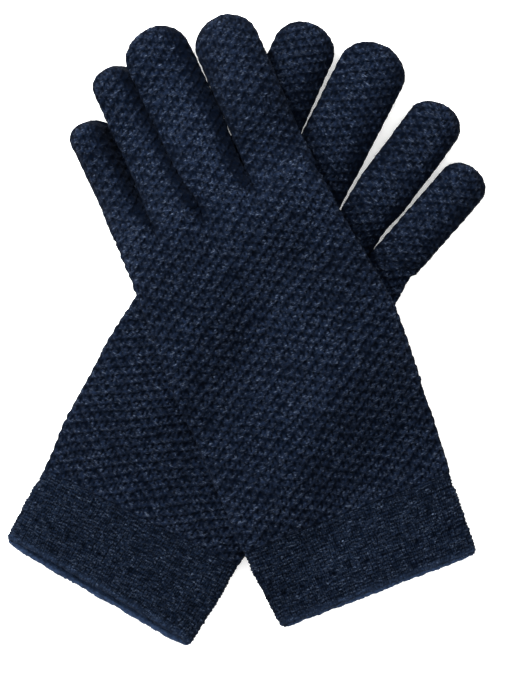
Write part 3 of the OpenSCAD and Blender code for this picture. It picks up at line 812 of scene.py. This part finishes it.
def makeThumb(glove, level):
    # from the gusset's point, where half-width and half-thickness grow as cos(84 degrees*share), to a
    # rounded tip
    side = lay[glove]["thumbSide"]
    tip = thumb["width"] * finger["tipShare"]
    straight = thumb["length"] - tip
    theta, arc, half, whole = evenAngles(thumb["width"] / 2, thumb["thickness"] / 2, finger["square"],
                                         thumb["step"], thumb["step"])
    wales = 2 * round(whole / knit["wale"] / 2)
    pitch = whole / wales
    s = np.concatenate([np.arange(-thumb["gusset"], 0, thumb["step"]), np.arange(0, straight, thumb["step"])])
    q = np.linspace(0, finger["tipTurn"], 18)
    along = np.concatenate([s, straight + (tip - thumb["inset"]) * np.sin(q)])[:, None]
    shrink = np.concatenate([np.where(s < 0, np.cos(np.radians(84) * np.clip(-s / thumb["gusset"], 0, 1)), 1),
                             np.cos(q)])[:, None]
    a, b = (thumb["width"] / 2 - thumb["inset"]) * shrink, (thumb["thickness"] / 2 - thumb["inset"]) * shrink
    x, z = tubeSection(theta[None, :], a, b, finger["square"])
    turn = np.radians(-side * thumb["heading"]) * ramp(-6, 12, along)
    heading = math.radians(-side * thumb["heading"])
    free = np.maximum(along, 0)
    below = np.minimum(along, 0)
    u = side * thumb["u"] - side * thumb["lean"] * below / thumb["gusset"]
    u = u + free * math.sin(heading) + x * np.cos(turn)
    v = thumb["start"] + below + free * math.cos(heading) - x * np.sin(turn)
    px, py = plan(glove, u, v)
    centre = thumb["thickness"] / 2 * np.where(along < 0, shrink, 1)
    surface = np.stack([px, py, centre + z], -1)
    topArc, underArc = half / 2, (half + whole) / 2
    upper = (arc <= half)[None, :]
    a = np.where(upper, (topArc - arc) * shrink, topArc - underArc - (arc - underArc) * shrink)
    r = (along + thumb["start"]) / knit["row"] + 0 * a
    relief = stitchRelief("moss", a / pitch, r, 83)
    fade = np.minimum(1, shrink * 1.6) ** 2
    push = (relief - knit["fineLevel"]) * knit["thumbRelief"] * fade
    surface = surface + normalsOf(surface) * push[..., None]
    surface[..., 2] = surface[..., 2] + levelAt(level, surface[..., 0], surface[..., 1])
    rows, columns = surface.shape[:2]
    points = np.concatenate([surface.reshape(-1, 3), surface[0].mean(0)[None], surface[-1].mean(0)[None]])
    i = np.arange(columns)
    n = (i + 1) % columns
    first, last = np.full(columns, rows * columns), np.full(columns, rows * columns + 1)
    lastRow = (rows - 1) * columns
    tips = np.concatenate([np.stack([n, i, first], -1), np.stack([lastRow + i, lastRow + n, last], -1)])
    heights = np.concatenate([relief.ravel(), [knit["fineLevel"], knit["fineLevel"]]])
    return writeMesh(glove + "_thumb_knit", points, gridFaces(rows, columns), tips,
                     gridUv(a, r * knit["row"], -whole), heights, mossWool)


# put the hand, cuff, facing and chain on their glove's body; fingers and thumbs are baked in place
def hinge(name):
    # a joint's place and axis, in metres
    found = [j for j in frame["joints"] if j["name"] == name][0]
    return np.array(found["pos_m"], float), np.array(found["axis"], float)


for glove, level, thumbLevel in (("left", "onTop", "overGlove"), ("right", "overThumb", "table")):
    print(glove, "glove")
    body = glove + "_glove"
    piece = makeHand(glove, level)
    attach(piece, body)
    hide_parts(glove + "_hand")
    for maker, node in ((makeCuff, "_cuff"), (makeFacing, "_cuff_facing"), (makeLink, "_cuff_link")):
        piece = maker(glove, level)
        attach(piece, body)
        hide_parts(glove + node)
    for which in ("index", "middle", "ring", "little"):
        name = glove + "_" + which
        piece = makeFinger(name, level)
        place, axis = hinge(name + "_fold")
        ahead = np.cross([0, 0, 1.0], axis)
        ahead = ahead / np.linalg.norm(ahead)
        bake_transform(piece)
        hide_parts(*([name] if glove == "left" else [name + "_base", name]))
    piece = makeThumb(glove, thumbLevel)
    rootX, rootY = plan(glove, lay[glove]["thumbSide"] * thumb["u"], thumb["start"])
    aheadX, aheadY = plan(glove, lay[glove]["thumbSide"] * thumb["u"], thumb["start"] + 1)
    ahead = np.array([aheadX - rootX, aheadY - rootY, 0])
    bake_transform(piece)
    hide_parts(glove + "_thumb", glove + "_thumb_gusset")


# table, light and camera, in metres
studio = {
    "floor": "#f6f6f4", "floorGlow": 0.4, "floorHalf": 1.5, "floorAt": -0.0004,
    "worldLight": 1.75, "lampPower": 48, "lampSize": 0.6, "lampAt": (-0.62, 0.8, 0.8),
    "frameHeight": 0.2712, "middle": (0.0036, -0.0048), "focusHeight": 0.012, "distance": 1.6, "sensor": 36,
}


def makeFloor():
    # a flat grid, slightly grained like heavy paper; it glows a little, so gaps between fingers stay pale
    n = 9
    edge = np.linspace(-studio["floorHalf"], studio["floorHalf"], n)
    x, y = np.meshgrid(edge, edge)
    points = np.stack([x.ravel(), y.ravel(), np.full(x.size, studio["floorAt"])], -1)
    j, i = np.meshgrid(np.arange(n - 1), np.arange(n - 1), indexing="ij")
    faces = np.stack([j * n + i, j * n + i + 1, (j + 1) * n + i + 1, (j + 1) * n + i], -1).reshape(-1, 4)
    mesh = bpy.data.meshes.new("paper_floor")
    mesh.from_pydata(points.tolist(), [], faces.tolist())
    material = bpy.data.materials.new("whitePaper")
    material.use_nodes = True
    tree = material.node_tree
    tree.nodes.clear()
    place = addNode(tree, "ShaderNodeTexCoord")
    grain = addNode(tree, "ShaderNodeTexNoise", {"Scale": 400.0}, {"Vector": place.outputs["Object"]})
    bump = addNode(tree, "ShaderNodeBump", {"Strength": 0.1, "Distance": 0.0002},
                   {"Height": grain.outputs["Fac"]})
    shader = addNode(tree, "ShaderNodeBsdfPrincipled",
                     {"Base Color": linear(studio["floor"]), "Roughness": 0.9, "Specular IOR Level": 0.1,
                      "Emission Color": (1, 1, 1, 1), "Emission Strength": studio["floorGlow"]},
                     {"Normal": bump.outputs["Normal"]})
    addNode(tree, "ShaderNodeOutputMaterial", links={"Surface": shader.outputs["BSDF"]})
    mesh.materials.append(material)
    floor = bpy.data.objects.new("paper_floor", mesh)
    bpy.context.scene.collection.objects.link(floor)


def makeStudio():
    # even white light all round, one large soft lamp from the upper left, and a camera straight above, whose
    # focal length = sensor * distance / frame height
    world = bpy.data.worlds.new("studio")
    bpy.context.scene.world = world
    world.use_nodes = True
    world.node_tree.nodes["Background"].inputs[0].default_value = (1, 1, 1, 1)
    world.node_tree.nodes["Background"].inputs[1].default_value = studio["worldLight"]
    lamp = bpy.data.lights.new("softbox", "AREA")
    lamp.energy = studio["lampPower"]
    lamp.shape = "DISK"
    lamp.size = studio["lampSize"]
    holder = bpy.data.objects.new("softbox", lamp)
    holder.location = studio["lampAt"]
    away = Vector(studio["lampAt"])
    holder.rotation_euler = away.to_track_quat("Z", "Y").to_euler()
    bpy.context.scene.collection.objects.link(holder)
    lens = bpy.data.cameras.new("overhead")
    lens.type = "PERSP"
    lens.sensor_width = studio["sensor"]
    lens.lens = studio["sensor"] * studio["distance"] / studio["frameHeight"]
    lens.clip_end = 20
    camera = bpy.data.objects.new("overhead", lens)
    camera.location = (studio["middle"][0], studio["middle"][1], studio["distance"] + studio["focusHeight"])
    bpy.context.scene.collection.objects.link(camera)
    bpy.context.scene.camera = camera
    bpy.context.scene.view_settings.view_transform = "Standard"


makeFloor()
makeStudio()
print("table, light and camera set")
